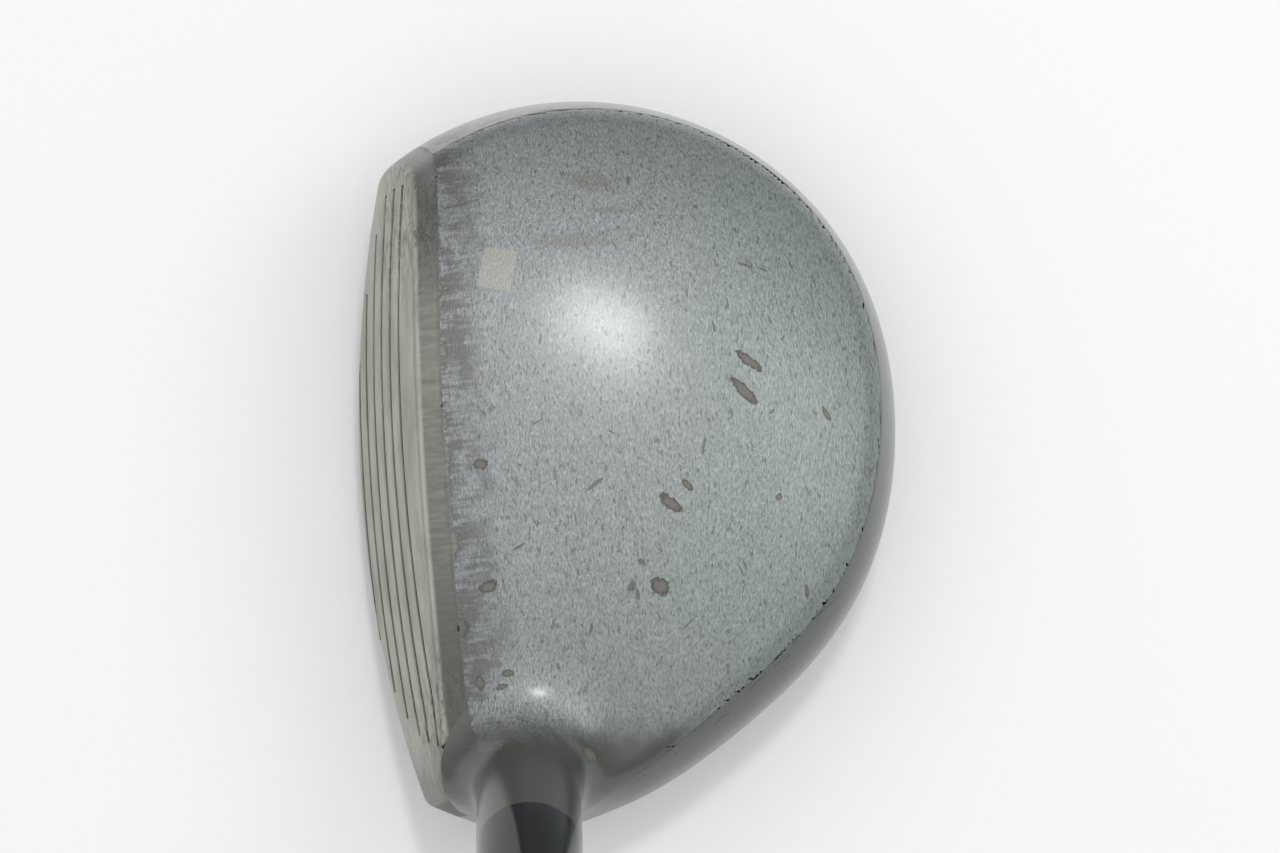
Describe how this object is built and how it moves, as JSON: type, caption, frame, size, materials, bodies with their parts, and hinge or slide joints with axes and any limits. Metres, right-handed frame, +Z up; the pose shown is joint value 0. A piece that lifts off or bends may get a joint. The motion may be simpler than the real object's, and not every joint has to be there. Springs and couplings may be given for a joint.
{
  "type": "fairway wood",
  "caption": "Right-handed steel fairway wood with a pewter-painted crown, scored bare-steel face, black ferrule, graphite shaft and rubber grip, at address.",
  "frame": {"origin": "middle of the small flat on the sole, where the head rests on the ground at address", "axes": "+Z up; +X from the face towards the back of the head, so the face looks along -X with its loft; +Y from the heel towards the toe; the shaft leans from the heel towards -Y at a lie of 58 degrees"},
  "size_m": [0.0746, 0.6539, 0.9115],
  "materials": {
    "crown_paint": "light pewter metallic paint with fine flake, worn along the face edge, chipped",
    "body_paint": "satin pewter metallic paint on cast steel",
    "face_steel": "bare steel, finely sanded along the score lines, worn",
    "line_paint": "dark paint in the bottom of the score lines",
    "sole_steel": "brushed steel with ground-contact scratches",
    "medallion": "blank satin anodised disc",
    "plain_steel": "plain machined steel",
    "tacky_adhesive": "soft amber adhesive",
    "foam": "soft foam plug",
    "epoxy": "cured epoxy",
    "brass": "turned brass",
    "ferrule_black": "polished black",
    "shaft_graphite": "clear-coated dark graphite composite",
    "band": "blank silver label band",
    "grip_tape": "double-sided paper tape",
    "grip_rubber": "moulded black rubber with a fine dimple texture"
  },
  "bodies": {
    "root": {"crown_plate": "crown_paint", "head_body": "body_paint", "face_plate": "face_steel", "score_line_paint": "line_paint", "sole_plate": "sole_steel", "sole_medallion": "medallion", "weight_boss": "plain_steel", "weight_screw": "plain_steel", "catch_pad": "tacky_adhesive", "bore_plug": "foam", "bond_sleeve": "epoxy", "tip_weight": "brass", "ferrule": "ferrule_black", "shaft": "shaft_graphite", "shaft_band": "band", "grip_tape": "grip_tape", "grip": "grip_rubber", "grip_cap": "grip_rubber"}
  },
  "joints": []
}
